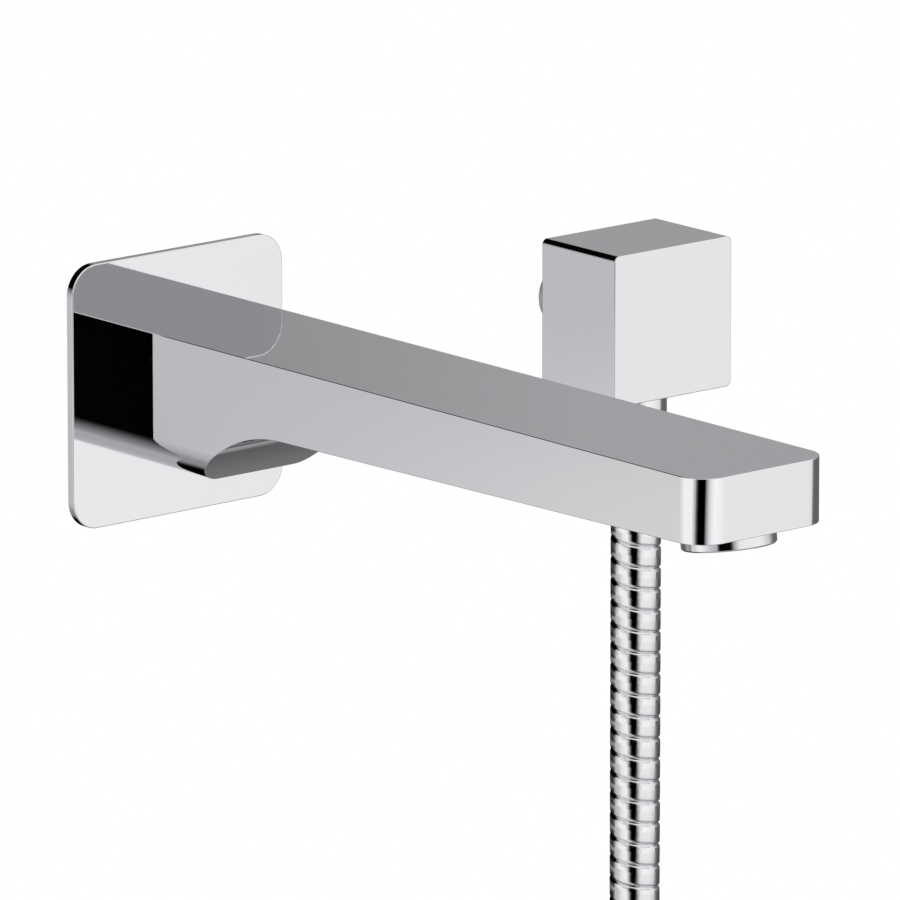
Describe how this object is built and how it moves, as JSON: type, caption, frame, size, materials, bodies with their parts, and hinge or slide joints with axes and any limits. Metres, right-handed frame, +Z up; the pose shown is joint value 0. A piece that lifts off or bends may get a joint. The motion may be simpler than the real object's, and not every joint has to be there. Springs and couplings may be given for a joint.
{
  "type": "wall mounted bath faucet",
  "caption": "Chrome bath set for a wall: square-plate flat bar spout with aerator, and a box-shaped hand-shower outlet with its spiral metal hose.",
  "frame": {"origin": "centre of the wall plate's back, on the wall", "axes": "+X right along the wall, +Z up, the spout points along -Y; the wall is the plane Y = 0"},
  "size_m": [0.2521, 0.267, 0.475],
  "materials": {
    "chrome": "mirror-polished chrome plate",
    "hose_metal": "polished double-lock metal strip",
    "plain_brass": "machined",
    "steel": "bright stainless",
    "seal_rubber": "matt",
    "white_plastic": "moulded acetal",
    "tie_plastic": "moulded nylon"
  },
  "bodies": {
    "wall_units": {"spout_body": "chrome", "wall_plate": "chrome", "plate_gasket": "seal_rubber", "spout_nipple": "plain_brass", "nipple_o_rings": "seal_rubber", "spout_grub_screw": "steel", "aerator_housing": "chrome", "aerator_insert": "white_plastic", "aerator_screen": "steel", "aerator_washer": "seal_rubber", "outlet_body": "chrome", "outlet_shank": "chrome", "shank_o_ring": "seal_rubber", "outlet_nipple": "chrome", "check_valve_body": "white_plastic", "check_valve_spring": "steel", "hose_top_washer": "seal_rubber", "hose_top_insert": "plain_brass", "hose_top_ferrule": "chrome", "hose_tube": "hose_metal", "hose_coil": "hose_metal", "hose_tail": "hose_metal", "coil_ties": "tie_plastic", "hose_end_ferrule": "chrome", "hose_end_insert": "plain_brass", "hose_end_washer": "seal_rubber"},
    "top_nut": {"hose_top_nut": "chrome"},
    "valve_poppet": {"check_valve_poppet": "white_plastic"},
    "cone_nut": {"hose_cone_nut": "chrome"}
  },
  "joints": [
    {"name": "top_nut_turn", "type": "hinge", "parent": "wall_units", "child": "top_nut", "pos_m": [0.145, -0.0326, -0.0359], "axis": [0, 0, 1], "continuous": true},
    {"name": "poppet_slide", "type": "slide", "parent": "wall_units", "child": "valve_poppet", "axis": [0, 0, -1], "range_m": [0, 0.0025], "stiffness_N_per_m": 60, "springref_m": -0.002, "deforming": ["check_valve_spring"]},
    {"name": "cone_nut_turn", "type": "hinge", "parent": "wall_units", "child": "cone_nut", "pos_m": [0.20157, -0.0779, -0.41997], "axis": [0, 0, 1], "continuous": true}
  ]
}
